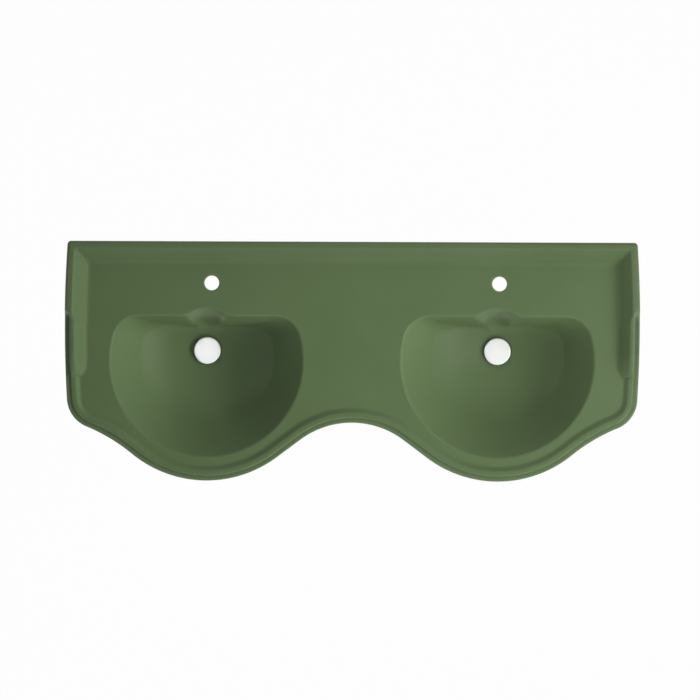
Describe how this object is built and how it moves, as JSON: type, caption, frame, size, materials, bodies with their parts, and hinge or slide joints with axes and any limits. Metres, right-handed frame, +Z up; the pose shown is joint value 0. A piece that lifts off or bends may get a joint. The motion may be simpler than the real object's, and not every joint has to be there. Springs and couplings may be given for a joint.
{
  "type": "double washbasin",
  "caption": "Wall-hung glazed ceramic washbasin with side-by-side bowls, stepped upstand, moulded rim, tap holes and push-open wastes.",
  "frame": {"origin": "on the wall face, midway along it, at the height of the deck", "axes": "+X along the wall to the user's right, +Y into the wall, +Z up"},
  "size_m": [1.37, 0.57, 0.256],
  "materials": {
    "green_glaze": "gloss olive green glaze",
    "white_glaze": "gloss white glaze",
    "chromed_brass": "polished chrome plate",
    "brass": "turned brass",
    "rubber": "matt black rubber",
    "nylon": "natural nylon",
    "spring_steel": "drawn stainless wire"
  },
  "bodies": {
    "basin": {"basin": "green_glaze", "left_waste_body": "chromed_brass", "left_flange_gasket": "rubber", "left_tapered_washer": "rubber", "left_slip_washer": "nylon", "left_backnut": "brass", "left_click_cartridge": "nylon", "left_click_collar": "brass", "left_click_spring": "spring_steel", "right_waste_body": "chromed_brass", "right_flange_gasket": "rubber", "right_tapered_washer": "rubber", "right_slip_washer": "nylon", "right_backnut": "brass", "right_click_cartridge": "nylon", "right_click_collar": "brass", "right_click_spring": "spring_steel"},
    "left_plug": {"left_plug_stem": "brass", "left_plug_carrier": "chromed_brass", "left_plug_seal": "rubber", "left_plug_cap": "white_glaze"},
    "right_plug": {"right_plug_stem": "brass", "right_plug_carrier": "chromed_brass", "right_plug_seal": "rubber", "right_plug_cap": "white_glaze"}
  },
  "joints": [
    {"name": "left_plug_slide", "type": "slide", "parent": "basin", "child": "left_plug", "axis": [0, 0, 1], "range_m": [0, 0.009], "deforming": ["left_click_spring"]},
    {"name": "right_plug_slide", "type": "slide", "parent": "basin", "child": "right_plug", "axis": [0, 0, 1], "range_m": [0, 0.009], "deforming": ["right_click_spring"]}
  ]
}
